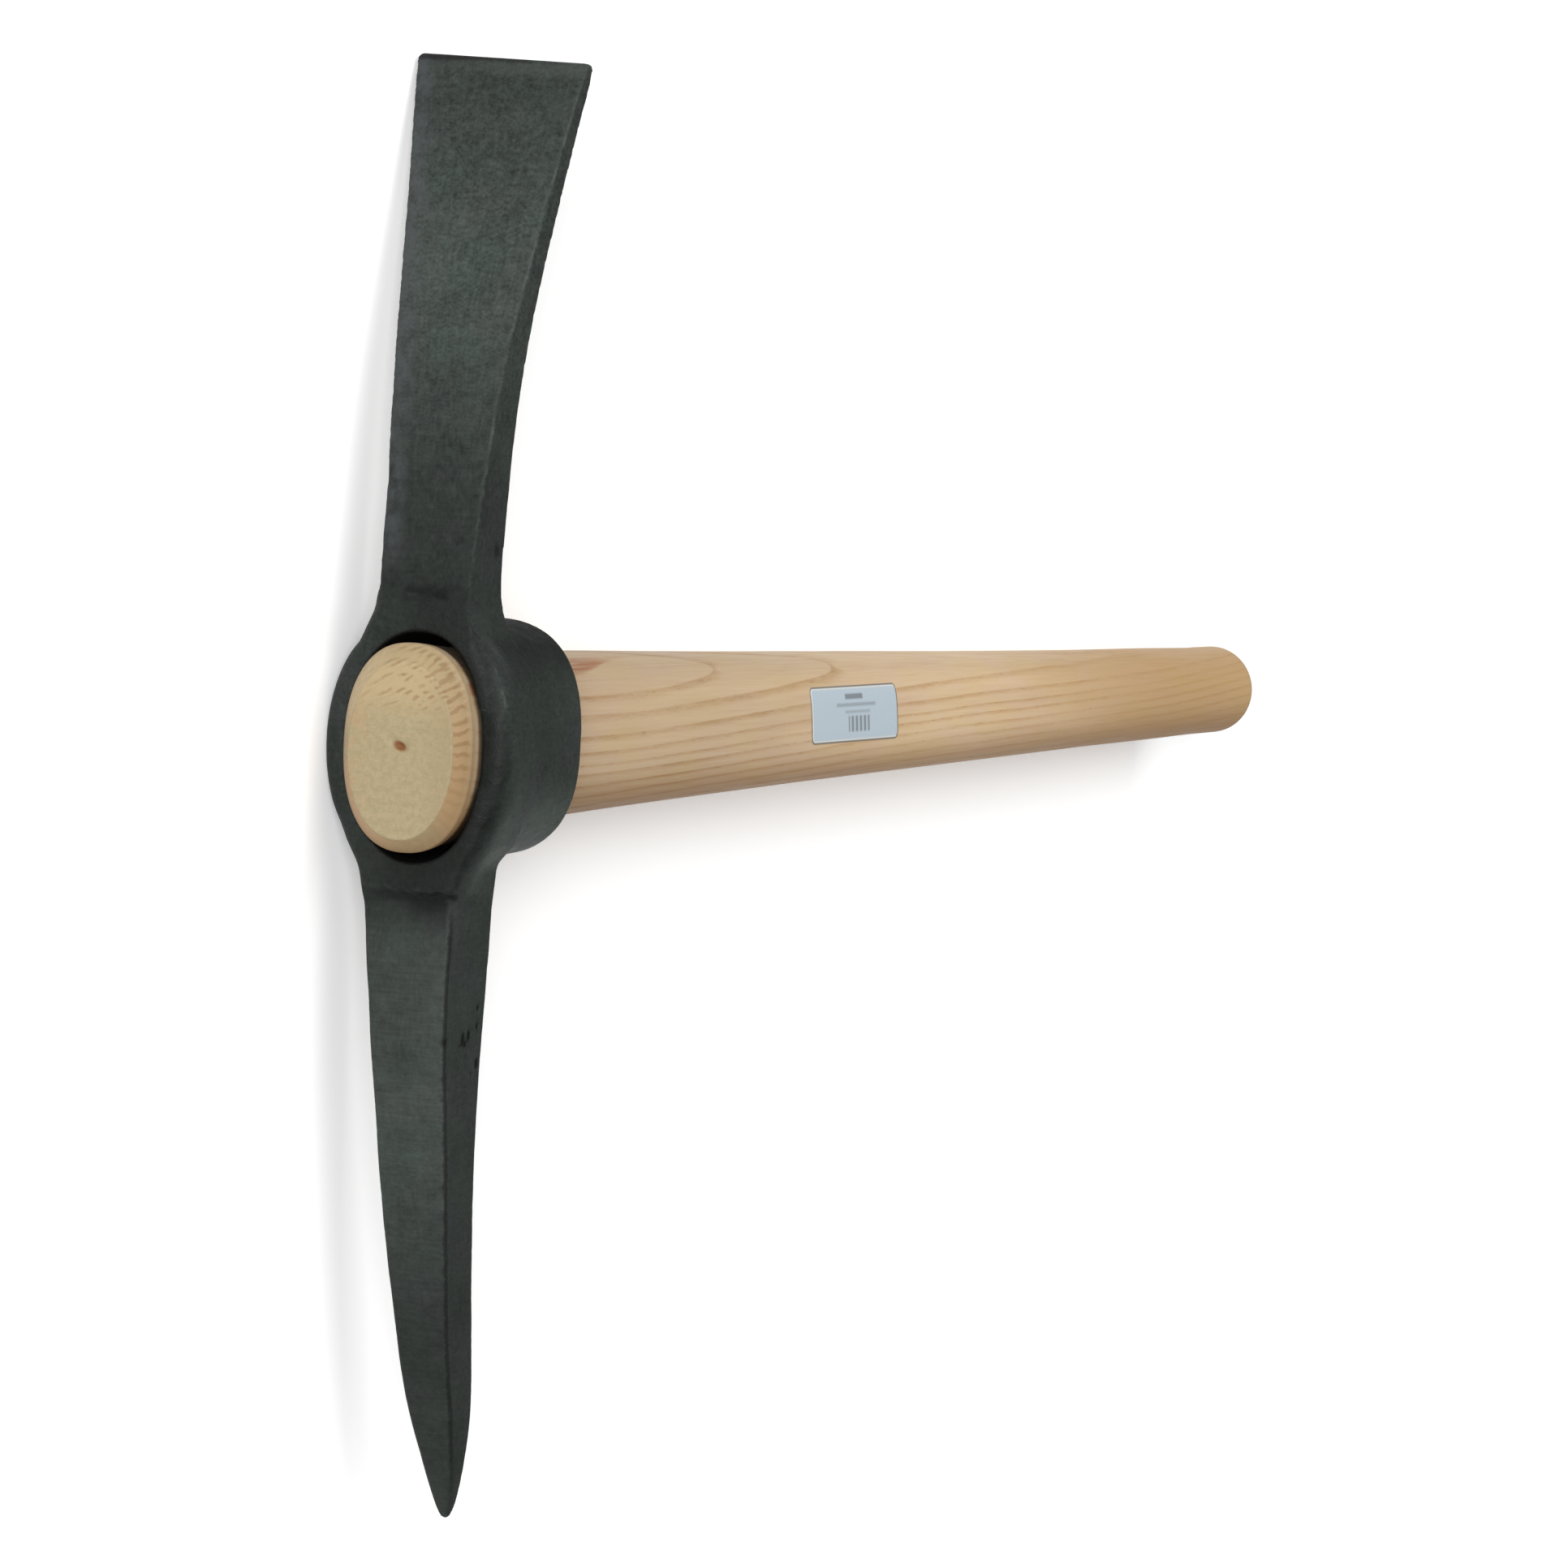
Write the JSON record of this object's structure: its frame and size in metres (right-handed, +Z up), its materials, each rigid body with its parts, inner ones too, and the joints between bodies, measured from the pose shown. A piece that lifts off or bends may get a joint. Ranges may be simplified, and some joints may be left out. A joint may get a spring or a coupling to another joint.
{
  "type": "pick axe",
  "caption": "Two-handed digging tool: forged steel head with a chisel arm and a pointed arm, slipped by its tapered oval eye over a long straight ash handle.",
  "frame": {"origin": "centre of the flat head end of the handle, on the handle's axis", "axes": "+X along the handle from its head end to its grip end, +Y along the head towards the chisel edge, +Z up with the tool lying on its side, label upwards"},
  "size_m": [0.914, 0.5337, 0.0746],
  "materials": {
    "head_steel": "dark grey-green matt lacquer over forge scale, slightly mottled, paler along the arrises",
    "ash_wood": "pale ash, long straight grain with wavy darker lines, sanded and thinly oiled",
    "label_paper": "pale blue-white paper sticker with a thin printed outline and plain bars"
  },
  "bodies": {
    "handle": {"handle": "ash_wood", "label": "label_paper"},
    "head": {"pick_head": "head_steel"}
  },
  "joints": [
    {"name": "head_slide", "type": "slide", "parent": "handle", "child": "head", "axis": [1, 0, 0], "range_m": [0, 0.92]}
  ]
}
